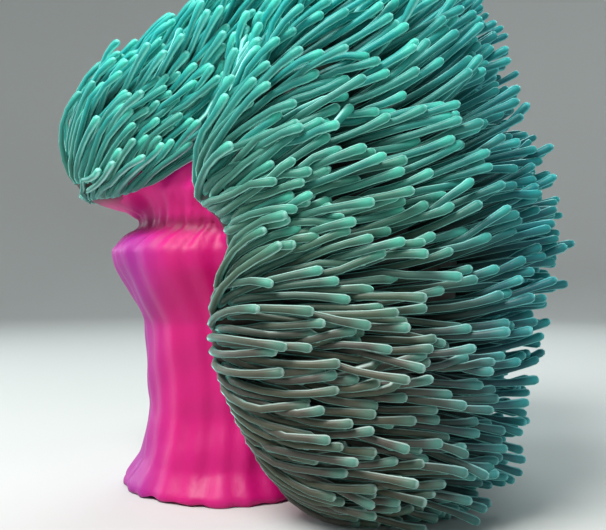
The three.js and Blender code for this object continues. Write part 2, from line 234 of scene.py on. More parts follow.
def column_at(height):
    """Radius of the column at a height, and the place of its middle in x."""
    heights, radii, offsets = COLUMN_RINGS.T
    return np.interp(height, heights, radii), np.interp(height, heights, offsets)


print("the column is", COLUMN_RINGS[0, 1] * 2, "m wide at its foot")


# %% The two forms
def make_disc(bm):
    """A sphere whose rings follow the margin, drawn out to the reach of the disc."""
    sides, rings, under = 200, 150, 34
    ball = bmesh.ops.create_uvsphere(bm, u_segments=sides, v_segments=rings, radius=1)
    places = np.array([v.co for v in ball["verts"]])
    around = np.degrees(np.arctan2(places[:, 1], places[:, 0]))
    ring = np.degrees(np.arccos(np.clip(places[:, 2], -1, 1))) / 180 * rings
    edge = margin_opening(around) + 1
    opening = np.where(ring < under, ring / under * edge,
                       edge + (180 - edge) * (ring - under) / (rings - under))
    for vert, place in zip(ball["verts"], flesh_point(direction_at(around, opening))):
        vert.co = place


def make_column(bm):
    """A half profile spun once round, with its rings moved over by the column's lean."""
    heights = np.arange(0, COLUMN_RINGS[-1, 0] + RING_SPACING / 2, RING_SPACING)
    radii = column_at(heights)[0]
    rim = [(0, 0, heights[0])] + [(r, 0, z) for r, z in zip(radii, heights)] + [(0, 0, heights[-1])]
    verts = [bm.verts.new(p) for p in rim]
    edges = [bm.edges.new(pair) for pair in zip(verts, verts[1:])]
    bmesh.ops.spin(bm, geom=verts + edges, axis=(0, 0, 1), cent=(0, 0, 0),
                   steps=COLUMN_SIDES, angle=2 * math.pi, use_merge=True)
    bmesh.ops.remove_doubles(bm, verts=bm.verts[:], dist=1e-5)
    for vert in bm.verts:
        vert.co.x += column_at(vert.co.z)[1]


def object_of(name, bm):
    bmesh.ops.recalc_face_normals(bm, faces=bm.faces[:])
    mesh = bpy.data.meshes.new(name)
    bm.to_mesh(mesh)
    bm.free()
    made = bpy.data.objects.new(name, mesh)
    bpy.context.collection.objects.link(made)
    return made


flesh = bmesh.new()
make_column(flesh)
make_disc(flesh)
skin = object_of("skin", flesh)
print("raw skin:", len(skin.data.polygons), "faces")

# %% Melt the two forms into one skin
VOXEL = 2.5 * MM


def bake_modifiers(piece):
    """Puts the modifiers' result in the mesh and takes them off."""
    bpy.context.view_layer.update()
    seen = piece.evaluated_get(bpy.context.evaluated_depsgraph_get())
    mesh = bpy.data.meshes.new_from_object(seen)
    old, name = piece.data, piece.data.name
    piece.modifiers.clear()
    piece.data = mesh
    bpy.data.meshes.remove(old)
    mesh.name = name


remesh = skin.modifiers.new("melt", "REMESH")
remesh.mode = "VOXEL"
remesh.voxel_size = VOXEL
rounding = skin.modifiers.new("round", "SMOOTH")
rounding.factor = 0.5
rounding.iterations = 8
bake_modifiers(skin)
print("melted skin:", len(skin.data.polygons), "faces")

# %% [markdown]
# ## Creases, ribs and the mouth
#
# The column isn't a plain tube. It is drawn in below the disc to a puckered crease, bulges
# softly under it, and has faint upright ribs where the inner walls are attached and a few
# wrinkles. These could be a bump in the material, but a bump doesn't change the outline or
# the exported mesh, so the skin's points are moved. The mouth is an oval slit with swollen,
# ribbed lips.

# %% Values of the relief
RIBS, RIB_HEIGHT = 24, 0.7 * MM
PUCKERS, PUCKER_HEIGHT = 44, 0.8 * MM
COLUMN_WRINKLES, DISC_WRINKLES = 1.6 * MM, 1.0 * MM
CREASE_LEVEL, CREASE_SPREAD = 190 * MM, 16 * MM
WALL_NEAR, WALL_FADE = 4 * MM, 10 * MM  # how far off its wall a point still counts as column
LIP_HALF_LENGTH, LIP_HALF_WIDTH = 17 * MM, 8 * MM
LIP_HEIGHT, LIP_BREADTH = 6 * MM, 0.42  # the breadths are shares of the oval
SLIT_DEPTH, SLIT_BREADTH = 9 * MM, 0.45
LIP_RIBS, LIP_RIB_SHARE = 18, 0.25
LIP_REACH = 30 * MM  # the mouth is formed no farther than this in front or behind


def ripple(places, scale, seed):
    """A soft, repeatable unevenness, mostly between -1 and 1, made of a few crossed waves."""
    waves = np.random.default_rng(seed)
    total = np.zeros(len(places))
    for _ in range(6):
        wave = unit(waves.normal(size=3)) * 2 * math.pi / (scale * waves.uniform(0.7, 1.6))
        total += np.sin(places @ wave + waves.uniform(0, 6.28))
    return total / 3.2


def mesh_arrays(mesh):
    places = np.empty(len(mesh.vertices) * 3)
    mesh.vertices.foreach_get("co", places)
    normals = np.empty(len(mesh.vertices) * 3)
    mesh.vertices.foreach_get("normal", normals)
    return places.reshape(-1, 3), normals.reshape(-1, 3)


def column_share(places):
    """1 on the column, 0 on the disc, from how far a point is from the column's wall."""
    radius, middle = column_at(places[:, 2])
    outside = np.hypot(places[:, 0] - middle, places[:, 1]) - radius
    below_top = places[:, 2] < COLUMN_RINGS[-1, 0] + 2 * MM
    return smooth(1 - (np.abs(outside) - WALL_NEAR) / WALL_FADE) * below_top


# %% Relief of the column and disc
places, normals = mesh_arrays(skin.data)
radius, middle = column_at(places[:, 2])
angle = np.arctan2(places[:, 1], places[:, 0] - middle)
on_column = column_share(places)
rise = on_column * RIB_HEIGHT * np.cos(RIBS * angle + 2 * ripple(places, 0.12, 3))
drawn_in = np.exp(-(((places[:, 2] - CREASE_LEVEL) / CREASE_SPREAD) ** 2))
rise += on_column * drawn_in * PUCKER_HEIGHT * np.cos(PUCKERS * angle + 3 * ripple(places, 0.09, 4))
rise += on_column * COLUMN_WRINKLES * ripple(places, 0.045, 5)
rise += (1 - on_column) * DISC_WRINKLES * ripple(places, 0.05, 6)
print("the relief of the skin is", round(np.ptp(rise) / MM, 1), "mm deep")

# %% Relief of the mouth
from_mouth = places - flesh_point(MOUTH_SIDE[None])[0]
lengthwise = from_mouth @ UPWARD
across = from_mouth @ np.cross(MOUTH_SIDE, UPWARD)
oval = np.hypot(lengthwise / LIP_HALF_LENGTH, across / LIP_HALF_WIDTH)
near_mouth = (np.abs(from_mouth @ MOUTH_SIDE) < LIP_REACH) * (oval < 4)
round_oval = np.arctan2(across / LIP_HALF_WIDTH, lengthwise / LIP_HALF_LENGTH)
lip_ribs = 1 + LIP_RIB_SHARE * np.cos(LIP_RIBS * round_oval)
rise += near_mouth * LIP_HEIGHT * lip_ribs * np.exp(-(((oval - 1) / LIP_BREADTH) ** 2))
rise -= near_mouth * SLIT_DEPTH * np.exp(-((oval / SLIT_BREADTH) ** 2))
print("points at the mouth:", np.count_nonzero(near_mouth))

# %% Move the skin's points
places = places + normals * rise[:, None]
places[:, 2] = np.maximum(places[:, 2], 0)
skin.data.vertices.foreach_set("co", places.ravel())
skin.data.shade_smooth()
skin.data.update()
lowest, highest = places[:, 2].min(), places[:, 2].max()
print("skin rests at", round(lowest / MM, 2), "mm, top at", round(highest, 3), "m")

# %% [markdown]
# ## Where the tentacles stand
#
# Along the margin the tentacles stand in close rows, like the teeth of a comb. Over the rest
# of the disc they are spaced a little wider, with none round the mouth; on the lobe above
# the neck they are finer and closer. Points could be scattered at random, but then some
# would crowd. Here even directions are tried in a random order, and one is kept only if it
# stands far enough from all that are already there.

# %% Roots along the margin
MARGIN_ROWS = [(1.5, 6.8 * MM), (5, 7.4 * MM), (9, 8.2 * MM)]  # degrees inwards, spacing
LOBE_MIDDLE, LOBE_SPREAD = unit([-1, 0.05, 0.5]), 42  # degrees
LOBE_FINER = 0.10  # share by which tentacles are finer and closer on the lobe


def fineness(toward):
    """1 over most of the disc, less on the lobe above the neck."""
    away = degrees_between(toward, LOBE_MIDDLE)
    return 1 - LOBE_FINER * np.exp(-((away / LOBE_SPREAD) ** 4))


def row_roots(inward, spacing, shift):
    """Directions at an even spacing along the margin, a little inside it."""
    around = np.linspace(0, 360, 2400, endpoint=False)
    places = flesh_point(direction_at(around, margin_opening(around) + inward))
    steps = np.linalg.norm(np.roll(places, -1, 0) - places, axis=1)
    steps = steps / fineness(direction_at(around, margin_opening(around)))
    travelled = np.concatenate([[0], np.cumsum(steps)])
    count = int(travelled[-1] / spacing)
    stops = (np.arange(count) + shift) / count * travelled[-1]
    found = np.interp(stops, travelled, np.append(around, 360))
    return direction_at(found, margin_opening(found) + inward)


rows = np.concatenate([row_roots(*row, 0.5 * (k % 2)) for k, row in enumerate(MARGIN_ROWS)])
print(len(rows), "tentacles along the margin")

# %% Roots over the field
DIRECTIONS_TRIED = 24000
FIELD_INSIDE = 9.5  # degrees between the margin and the field
FIELD_SPACING = (7.9 * MM, 10.2 * MM)  # by the margin, and far from it
FIELD_WIDENS = 45  # degrees inwards over which the spacing grows
BARE_RING = 15  # degrees round the mouth without tentacles
LOWEST_ROOT = 3 * MM


def even_directions(count):
    """Directions on a golden spiral, all about as far from each other."""
    i = np.arange(count) + 0.5
    x = 1 - 2 * i / count
    turn = i * math.pi * (3 - math.sqrt(5))
    r = np.sqrt(1 - x * x)
    return np.stack([r * np.cos(turn), r * np.sin(turn), x], -1)


def field_roots(rows):
    """Directions over the disc that keep the local spacing from each other and the rows."""
    tried = even_directions(DIRECTIONS_TRIED)
    past = past_margin(tried)
    inside = (past > FIELD_INSIDE) & (degrees_between(tried, MOUTH_SIDE) > BARE_RING)
    tried, past = tried[inside], past[inside]
    order = rng.permutation(len(tried))
    tried, past = tried[order], past[order]
    near, far = FIELD_SPACING
    spacing = near + (far - near) * smooth((past - FIELD_INSIDE) / FIELD_WIDENS)
    spacing = spacing * fineness(tried)
    places = flesh_point(tried)
    kept = flesh_point(rows)
    chosen = []
    for k, place in enumerate(places):
        if ((kept - place) ** 2).sum(1).min() > spacing[k] ** 2:
            kept = np.vstack([kept, place])
            chosen.append(k)
    return tried[chosen]


roots = np.concatenate([rows, field_roots(rows)])
roots = roots[flesh_point(roots)[:, 2] > LOWEST_ROOT]
print(len(roots), "tentacles in all")

# %% [markdown]
# ## How they lie in the current
#
# A tentacle leaves the skin, bends over and gives way to the current, which lifts it more
# the higher it stands. On the margin it first leans out over the edge and then curls back
# inwards. The middle lines are grown step by step for all tentacles at once, each step
# turning a little towards the local flow. A slow wave in that flow makes neighbours sway
# together, as real ones do, and those farthest from the column stray more.

# %% The current
CURRENT_HEIGHTS = np.array([0, 60, 120, 190, 250, 320, 380]) * MM
CURRENT_SLOPES = [-14, -9, 0, 14, 28, 38, 42]  # degrees upwards
SHELTER_FROM, SHELTER_WIDTH = 120 * MM, 120 * MM  # in x, behind the disc
SHELTERED_SHARE, SHELTERED_SLOPE = 0.45, 8  # of the slope that is lost there, and what is added
WAVE = 0.16  # how far the current wavers, in radians
OUTWARDS = 0.10  # how far it parts to the sides
SWEEP, SWEEP_WIDTH = 1.2, 14  # strength, and degrees from the margin


def current(places):
    """Direction that the water carries a tentacle in at each place."""
    x, y, z = places.T
    sheltered = smooth((x - SHELTER_FROM) / SHELTER_WIDTH)
    slope = np.interp(z, CURRENT_HEIGHTS, CURRENT_SLOPES)
    angle = np.radians(slope * (1 - SHELTERED_SHARE * sheltered) + SHELTERED_SLOPE * sheltered)
    angle = angle + WAVE * ripple(places, 0.11, 11)
    sideways = OUTWARDS * np.tanh(y / (80 * MM)) + WAVE * ripple(places, 0.10, 12)
    return unit(np.stack([np.cos(angle), sideways, np.sin(angle)], -1))


def current_over(places, toward, normal):
    """The current where it can't run into the flesh, swept in from the margin near it."""
    inward = unit((toward @ BARE_SIDE)[:, None] * toward - BARE_SIDE)
    sweep = SWEEP * np.exp(-np.maximum(past_margin(toward), 0) / SWEEP_WIDTH)
    flow = current(places)
    flow = flow - np.minimum(dot(flow, normal), 0)[:, None] * normal
    return unit(flow + sweep[:, None] * inward)


print("the current over the crown runs", current(flesh_point(np.array([[0.0, 0, 1]])))[0].round(2))

# %% Grow the middle lines
LENGTH, LENGTH_SPREAD = 70 * MM, (0.86, 1.12)
RADIUS, RADIUS_SPREAD = 2.45 * MM, (0.92, 1.08)
STEPS = 18
TURN = 0.34  # share of the way to the local flow that each step turns
LIFT = (9 * MM, 26 * MM)  # heights over the skin that the tips settle at
MARGIN_LIFT = 0.6  # share of that height by the margin
LIFT_FADE, PULL_DOWN, PULL_UP = 14 * MM, -0.55, 0.9  # how they are drawn back to that height
LIFTED, HELD_LESS = 0.35, 0.3  # where the current itself lifts them, they are drawn less
OVERHANG, OVERHANG_WIDTH = 0.4, 7  # how strongly they first lean out over the margin, degrees
WITH_CURRENT = 1.1  # how strongly a root already leans with the current
ROOT_DEPTH = 2 * MM
FLOOR_GAP = 1.1 * RADIUS  # lowest height of a middle line over the floor
STRAY, STRAY_MORE = 0.07, 0.09
STRAY_FROM, STRAY_WIDTH = 110 * MM, 90 * MM  # in x, where they begin to stray more
TIP_CURL = 0.15


def grow_lines(roots):
    """Middle lines of the tentacles, from root to tip, and their radii."""
    count = len(roots)
    normal = flesh_normal(roots)
    past = past_margin(roots)
    place = flesh_point(roots)
    inward = unit((roots @ BARE_SIDE)[:, None] * roots - BARE_SIDE)
    overhang = OVERHANG * np.exp(-((past / OVERHANG_WIDTH) ** 2))
    leaning = WITH_CURRENT * current_over(place, roots, normal)
    heading = unit(normal + leaning - overhang[:, None] * inward)
    place = place - ROOT_DEPTH * normal
    size = rng.uniform(*LENGTH_SPREAD, count)
    step = LENGTH * size / STEPS
    lift = rng.uniform(*LIFT, count)
    lift = lift * (MARGIN_LIFT + (1 - MARGIN_LIFT) * smooth((past - 4) / 25))
    sway, curl = rng.normal(size=(2, count, 3))
    stray = STRAY + STRAY_MORE * smooth((place[:, 0] - STRAY_FROM) / STRAY_WIDTH)
    line = [place]
    for k in range(1, STEPS + 1):
        share = k / STEPS
        outward = place - DISC_CENTRE
        distance = np.linalg.norm(outward, axis=1)
        outward = outward / distance[:, None]
        over = flesh_normal(outward)
        height = (distance - flesh_reach(outward)) * dot(outward, over)
        goal = current_over(place, outward, over)
        wanted = np.clip((lift * smooth(1.5 * share) - height) / LIFT_FADE, PULL_DOWN, PULL_UP)
        held = np.where(dot(goal, over) > LIFTED, HELD_LESS, 1)
        goal = goal + (held * wanted)[:, None] * over
        goal = goal + stray[:, None] * sway + TIP_CURL * share * curl
        heading = unit(heading * (1 - TURN) + unit(goal) * TURN)
        place = place + heading * step[:, None]
        place[:, 2] = np.maximum(place[:, 2], FLOOR_GAP)
        line.append(place)
    return np.stack(line, 1), RADIUS * fineness(roots) * rng.uniform(*RADIUS_SPREAD, count)


lines, radii = grow_lines(roots)
print("tips reach", lines[:, -1].min(0).round(3), "to", lines[:, -1].max(0).round(3))

# %% [markdown]
# ## Making room
#
# Grown without heed of each other, many tentacles run through their neighbours. Real ones
# push each other aside. So every point of every line is compared with its neighbours, and points of two
# tentacles that are closer than their thickness are moved apart. The lines are then
# straightened to their old lengths, and the whole is done a few times over.

# %% Push the lines apart
ROUNDS = 7
PUSH_REACH = 2.1 * RADIUS  # middle lines are parted if closer than this
PUSH_SHARE, LONGEST_PUSH = 0.45, 1.5 * MM  # of what is missing, in one round
EVENED = 0.4  # share by which each point is drawn to the middle of its neighbours
OVER_SKIN = 0.8 * RADIUS  # lowest height of a middle line over the skin


def pushed(points, owner):
    """Moves that part the points of different tentacles that are too close."""
    tree = KDTree(len(points))
    for i, point in enumerate(points):
        tree.insert(point, i)
    tree.balance()
    moves = np.zeros_like(points)
    for i, point in enumerate(points):
        for _, j, gap in tree.find_range(point, PUSH_REACH):
            if owner[j] != owner[i] and gap > 1e-6:
                moves[i] += (point - points[j]) * ((PUSH_REACH - gap) / gap * PUSH_SHARE)
    return np.clip(moves, -LONGEST_PUSH, LONGEST_PUSH)


def make_room(lines):
    first = 3  # the points below this stay where they are rooted
    owner = np.repeat(np.arange(len(lines)), STEPS + 1 - first)
    steps = np.linalg.norm(np.diff(lines, axis=1), axis=2)
    for _ in range(ROUNDS):
        loose = lines[:, first:].reshape(-1, 3)
        wanted = lines.copy()
        wanted[:, first:] += pushed(loose, owner).reshape(lines[:, first:].shape)
        beside = (wanted[:, :-2] + wanted[:, 2:]) / 2
        wanted[:, 1:-1] = wanted[:, 1:-1] * (1 - EVENED) + beside * EVENED
        wanted[:, :2] = lines[:, :2]
        lines = wanted.copy()
        for k in range(1, STEPS + 1):
            along = unit(wanted[:, k] - lines[:, k - 1])
            lines[:, k] = lines[:, k - 1] + along * steps[:, k - 1, None]
            if k >= first:
                outward = unit(lines[:, k] - DISC_CENTRE)
                depth = flesh_reach(outward) + OVER_SKIN - dot(lines[:, k] - DISC_CENTRE, outward)
                lines[:, k] += outward * np.maximum(depth, 0)[:, None]
            lines[:, k, 2] = np.maximum(lines[:, k, 2], FLOOR_GAP)
    return lines


lines = make_room(lines)
print("room made in", ROUNDS, "rounds")

# %% [markdown]
# ## One finger, many times
#
# A tentacle is a blunt finger, thick at the root, slimmer along its length and swollen again
# before its round tip. One is spun from its half profile with as few faces as still look
# round. An Array modifier makes as many copies as a zone needs, side by side, and each copy
# is then bent along its own line. Instances would be lighter, but each copy has a shape of
# its own, and an export wants mesh.

# %% The finger
FINGER_PROFILE = [  # share of the length, share of the radius
    (0, 1.15), (0.11, 1.08), (0.25, 0.98), (0.42, 0.90), (0.60, 0.86), (0.77, 0.90), (0.89, 1.08),
    (0.955, 1.18), (0.986, 0.86),
]
FINGER_SIDES = 8
COPY_SPACING = 4.0  # radii between copies, before they are bent


def make_finger():
    """A finger along +Z, of length 1 and radius 1, closed at both ends."""
    bm = bmesh.new()
    rim = [(0, 0, 0)] + [(r, 0, t) for t, r in FINGER_PROFILE] + [(0, 0, 1)]
    verts = [bm.verts.new(p) for p in rim]
    edges = [bm.edges.new(pair) for pair in zip(verts, verts[1:])]
    bmesh.ops.spin(bm, geom=verts + edges, axis=(0, 0, 1), cent=(0, 0, 0),
                   steps=FINGER_SIDES, angle=2 * math.pi, use_merge=True)
    bmesh.ops.remove_doubles(bm, verts=bm.verts[:], dist=1e-5)
    return object_of("finger", bm)


def map_finger(mesh):
    """A map with the turn round the finger across and the way along it upwards."""
    layer = mesh.uv_layers.new(name="OFBake")
    for face in mesh.polygons:
        middle = math.atan2(face.center.y, face.center.x)
        for loop in face.loop_indices:
            place = mesh.vertices[mesh.loops[loop].vertex_index].co
            on_axis = place.xy.length < 0.001
            turn = 0 if on_axis else math.remainder(math.atan2(place.y, place.x) - middle, 2 * math.pi)
            layer.data[loop].uv = (middle + turn) / (2 * math.pi), place.z - 0.5


finger = make_finger()
map_finger(finger.data)
finger_places = mesh_arrays(finger.data)[0]
root_shade = 1 - smooth(finger_places[:, 2] / 0.72)
# where the pale painted highlight runs along each tentacle
finger_rim_highlight = unit(finger_places[:, :2] + [1e-6, 0])[:, 1] ** 2  # 1 on its upper and under edge
print("one finger:", len(finger.data.vertices), "points,", len(finger.data.polygons), "faces")

# %% [markdown]
# ## A map for the export
#
# An export paints a piece's colours on a picture, through a UV map. An automatic map would
# scatter two thousand tentacles over it in slivers. So the finger gets a map of its own, and
# every copy's part of it becomes a small patch. The patches lie where the roots lie when the
# disc's skin is rolled out flat round the mouth. They are narrow, as the colour changes
# little round a tentacle, and longer than wide, to keep the shades from its root to its tip.

# %% Patches on the rolled-out skin
PATCH = np.array([0.003, 0.012])  # across and along, in shares of the picture
MAP_EDGE = 0.02  # left free all round


def unwrapped(roots):
    """Places of the roots on the skin rolled out round the mouth, filling a unit square."""
    bearing = np.arctan2(roots @ RIGHTWARD, roots @ UPWARD)
    away = degrees_between(roots, MOUTH_SIDE)
    flat = np.stack([away * np.sin(bearing), away * np.cos(bearing)], -1)
    low, high = flat.min(0), flat.max(0)
    return MAP_EDGE + (1 - 2 * MAP_EDGE) * (flat - low) / (high - low)


# %% Bend copies of the finger along the lines
def frames_along(lines):
    """Directions across each line, level and upright at its tip, carried down without twist."""
    along = unit(np.gradient(lines, axis=1))
    side = unit(np.cross(along[:, -1], [0.1, 0, 1]))
    sides = [side]
    for k in range(lines.shape[1] - 2, -1, -1):
        side = unit(side - dot(side, along[:, k])[:, None] * along[:, k])
        sides.append(side)
    sides = np.stack(sides[::-1], 1)
    return sides, np.cross(along, sides)


def at_share(values, share):
    """Values along each line, read at shares of its length."""
    spot = np.clip(share, 0, 1) * STEPS
    low = np.minimum(spot.astype(int), STEPS - 1)
    part = (spot - low)[None, :, None]
    return values[:, low] * (1 - part) + values[:, low + 1] * part


def bent_fingers(lines, radii):
    """Places of the points of one finger for each line."""
    share = finger_places[:, 2]
    middle = at_share(lines, share)
    side, other = (at_share(v, share) for v in frames_along(lines))
    places = middle + radii[:, None, None] * (
        side * finger_places[None, :, :1] + other * finger_places[None, :, 1:2])
    places[..., 2] = np.maximum(places[..., 2], 0)  # flattened where they lie on the floor
    return places


def spread_map(mesh, roots):
    """Moves each tentacle's patch of the map to the place of its root, and keeps it small."""
    layer = mesh.uv_layers["OFBake"]
    corners = np.empty(len(mesh.loops) * 2)
    layer.data.foreach_get("uv", corners)
    corners = corners.reshape(len(roots), -1, 2) * PATCH
    centres = unwrapped(roots)
    layer.data.foreach_set("uv", (corners + centres[:, None]).ravel())
    gaps = np.linalg.norm(centres[:, None] - centres, axis=2) + np.eye(len(roots))
    print(mesh.name, "map: nearest patches", round(float(gaps.min()), 3), "apart")


def finger_coat(name, roots, lines, radii, tones, gap_shade_share):
    """One joined mesh of tentacles, with attributes for its material."""
    piece = finger.copy()
    piece.data = finger.data.copy()
    piece.name = piece.data.name = name
    bpy.context.collection.objects.link(piece)
    row = piece.modifiers.new("row", "ARRAY")
    row.count = len(lines)
    row.use_relative_offset = False
    row.use_constant_offset = True
    row.constant_offset_displace = (COPY_SPACING, 0, 0)
    bake_modifiers(piece)
    mesh = piece.data
    mesh.vertices.foreach_set("co", bent_fingers(lines, radii).ravel())
    spread_map(mesh, roots)
    along = mesh.attributes.new("along", "FLOAT", "POINT")
    along.data.foreach_set("value", np.tile(finger_places[:, 2], len(lines)))
    # the share of the painted highlight along the upper and under edge
    edge = mesh.attributes.new("edge", "FLOAT", "POINT")
    edge.data.foreach_set("value", np.tile(finger_rim_highlight, len(lines)))
    tone = mesh.attributes.new("tone", "FLOAT", "POINT")
    tone.data.foreach_set("value", np.repeat(tones, len(finger_places)))
    # how strongly painted shade darkens each point, at the root and deep between the others
    depth = mesh.attributes.new("depth", "FLOAT", "POINT")
    depth.data.foreach_set("value", (gap_shade_share[:, None] * root_shade).ravel())
    mesh.shade_smooth()
    mesh.update()
    return piece


# %% [markdown]
# ## Zones
#
# One mesh of all tentacles would be heavy to handle, so they are joined zone by zone, with
# the same cuts that part the solids: the lobe above the neck, and three levels on each side.
# A tentacle belongs to the zone that its root stands in.

# %% Join the tentacles zone by zone
ZONE_CUTS = {"lobe": (228 * MM, 43), "upper": (168 * MM, 12), "lower": (92 * MM, 1)}  # height, slope


def above_cut(places, name):
    height, slope = ZONE_CUTS[name]
    return places[:, 2] > height + places[:, 0] * math.tan(math.radians(slope))


def zones(places):
    """A name and a mask for each zone of the disc."""
    lobe = above_cut(places, "lobe")
    yield "upper_lobe", lobe
    upper, lower = above_cut(places, "upper"), ~above_cut(places, "lower")
    on_left = places[:, 1] > DISC_CENTRE[1]
    for side, on_side in (("left", on_left), ("right", ~on_left)):
        yield f"{side}_upper", ~lobe & on_side & upper
        yield f"{side}_middle", ~lobe & on_side & ~upper & ~lower
        yield f"{side}_lower", ~lobe & on_side & lower


tones = rng.uniform(0, 1, len(roots))
# strength of the painted shade between the tentacles, weak on the margin
gap_shade_share = 0.15 + 0.85 * smooth((past_margin(roots) - 3) / 20)  # those on the margin lie in the light
coats = []
for zone, inside in zones(flesh_point(roots)):
    of_zone = (each[inside] for each in (roots, lines, radii, tones, gap_shade_share))
    coats.append(finger_coat(f"tentacles_{zone}", *of_zone))
    print(coats[-1].name, inside.sum(), "tentacles,", len(coats[-1].data.polygons), "faces")
bpy.data.objects.remove(finger)

# %% [markdown]
# ## Flesh of the tentacles
#
# A tentacle is moist and a little see-through: grey-green along its length, paler at the
# tip, with a pale painted highlight along its upper and its under edge and round its end.
# Its colour is mixed from the place on the animal (green and lighter on the crown, grey-brown
# low by the column, blue-green on the far side; partly its own colour, partly painted light
# from above and painted shade low down and on the far side), the share of its length and a
# tone of its own. Deep between the others and at the root a painted shade turns it nearly
# black. Subsurface scattering and a pale sheen soften it.

# %% Material helpers
def colour(hex_code):
    """A colour written as in a paint chart, turned to the shader's linear values."""
    parts = [int(hex_code[i:i + 2], 16) / 255 for i in (1, 3, 5)]
    return tuple(c / 12.92 if c < 0.04045 else ((c + 0.055) / 1.055) ** 2.4 for c in parts) + (1,)


class Nodes:
    """Short words for building a node material."""

    def __init__(self, name):
        self.material = bpy.data.materials.new(name)
        self.material.use_nodes = True
        self.tree = self.material.node_tree
        self.shader = self.tree.nodes["Principled BSDF"]

    def add(self, kind, **settings):
        node = self.tree.nodes.new(kind)
        for key, value in settings.items():
            setattr(node, key, value)
        return node

    def link(self, source, target):
        self.tree.links.new(source, target)

    def put(self, socket, value):
        if isinstance(value, bpy.types.NodeSocket):
            self.link(value, socket)
        else:
            socket.default_value = value

    def attribute(self, name):
        return self.add("ShaderNodeAttribute", attribute_name=name).outputs["Fac"]

    def place(self):
        return self.add("ShaderNodeTexCoord").outputs["Object"]

    def ramp(self, value, low, high, to_low=0.0, to_high=1.0):
        node = self.add("ShaderNodeMapRange", interpolation_type="SMOOTHSTEP")
        for socket, given in zip(node.inputs, (value, low, high, to_low, to_high)):
            self.put(socket, given)
        return node.outputs["Result"]

    def mix(self, share, first, second):
        node = self.add("ShaderNodeMix", data_type="RGBA")
        for number, given in ((0, share), (6, first), (7, second)):
            self.put(node.inputs[number], given)
        return node.outputs[2]

    def math(self, operation, first, second):
        node = self.add("ShaderNodeMath", operation=operation)
        self.put(node.inputs[0], first)
        self.put(node.inputs[1], second)
        return node.outputs[0]

    def noise(self, scale, detail=3, stretch=(1, 1, 1)):
        mapping = self.add("ShaderNodeMapping")
        mapping.inputs["Scale"].default_value = stretch
        self.link(self.place(), mapping.inputs["Vector"])
        node = self.add("ShaderNodeTexNoise")
        node.inputs["Scale"].default_value = scale
        node.inputs["Detail"].default_value = detail
        self.link(mapping.outputs[0], node.inputs["Vector"])
        return node.outputs["Fac"]

    def bump(self, height, strength, distance):
        node = self.add("ShaderNodeBump")
        node.inputs["Strength"].default_value = strength
        node.inputs["Distance"].default_value = distance
        self.link(height, node.inputs["Height"])
        self.link(node.outputs[0], self.shader.inputs["Normal"])

    def set(self, **values):
        for name, value in values.items():
            self.put(self.shader.inputs[name.replace("_", " ")], value)


# %% Tentacle material
# Colours by region, partly the animal's own and partly painted light and shade: lighter on the crown,
# as lit from above, and darker low down and on the far side, as in shade. The edge colours are a
# painted highlight.
ON_CROWN = {"body": "#00a09e", "tip": "#4ed6be", "edge": "#98f6ee"}
ON_FLANK = {"body": "#286c5e", "tip": "#5fdcbe", "edge": "#bff8ee"}
LOW_DOWN = {"body": "#463e38", "tip": "#62a595", "edge": "#c8dcd6"}
FAR_OUT = {"body": "#005a66", "tip": "#109ca0", "edge": "#48ccd8"}
# the near-black colour is painted shade at the roots and between the tentacles
PAINTED_GAP_SHADE, WARM_OLIVE = colour("#0b0905"), colour("#4c5a3c")


def regions(n):
    """How much a place is on the crown, low down, and away from the column."""
    axes = n.add("ShaderNodeSeparateXYZ")
    n.link(n.place(), axes.inputs[0])
    high = n.ramp(axes.outputs["Z"], 0.16, 0.36)
    low = n.ramp(axes.outputs["Z"], 0.21, 0.10, 0, 0.95)
    far = n.ramp(axes.outputs["X"], 0.10, 0.21, 0, 0.88)
    return high, low, far


def region_colour(n, shares, part):
    """The colour of one part of a tentacle, from the region that it is in."""
    high, low, far = shares
    mixed = n.mix(high, colour(ON_FLANK[part]), colour(ON_CROWN[part]))
    mixed = n.mix(low, mixed, colour(LOW_DOWN[part]))
    return n.mix(far, mixed, colour(FAR_OUT[part]))


def tentacle_material():
    n = Nodes("tentacle_flesh")
    along, tone, depth = n.attribute("along"), n.attribute("tone"), n.attribute("depth")
    high, _, far = shares = regions(n)
    olive = n.math("MULTIPLY", n.ramp(tone, 0, 1), n.ramp(high, 0, 1, 0.35, 0.12))
    olive = n.math("MULTIPLY", olive, n.ramp(far, 0, 0.8, 1, 0.1))
    body = n.mix(olive, region_colour(n, shares, "body"), WARM_OLIVE)
    # painted shade at the roots and deep between the tentacles, weaker on the crown
    shaded = n.math("MULTIPLY", depth, n.ramp(high, 0, 1, 1, 0.7))
    body = n.mix(shaded, body, PAINTED_GAP_SHADE)
    tip = n.math("MULTIPLY", n.ramp(along, 0.80, 0.98), n.ramp(tone, 1, 0, 0.2, 0.6))
    body = n.mix(tip, body, region_colour(n, shares, "tip"))
    # painted highlight round the end of the tip
    tip_highlight = n.ramp(along, 0.965, 1.0, 0, 0.6)
    # painted highlight along the upper and under edge
    on_rim_highlight = n.ramp(n.attribute("edge"), 0.5, 1.0)
    edge = n.math("MULTIPLY", on_rim_highlight, n.ramp(along, 0.1, 0.75, 0.1, 0.95))
    body = n.mix(n.math("MAXIMUM", tip_highlight, edge), body, region_colour(n, shares, "edge"))
    n.set(Base_Color=body, Roughness=0.5, Specular_IOR_Level=0.3)
    n.set(Subsurface_Weight=0.15, Subsurface_Scale=0.003, Coat_Weight=0.05, Coat_Roughness=0.25)
    n.set(Sheen_Weight=1.0, Sheen_Roughness=0.3, Sheen_Tint=colour("#98fff0"))
    n.shader.inputs["Subsurface Radius"].default_value = (0.7, 1.0, 0.8)
    n.bump(n.noise(700, 2), 0.25, 0.0006)
    return n.material


tentacle_flesh = tentacle_material()
for coat in coats:
    coat.data.materials.clear()
    coat.data.materials.append(tentacle_flesh)
print("tentacles coloured in", len(coats), "zones")
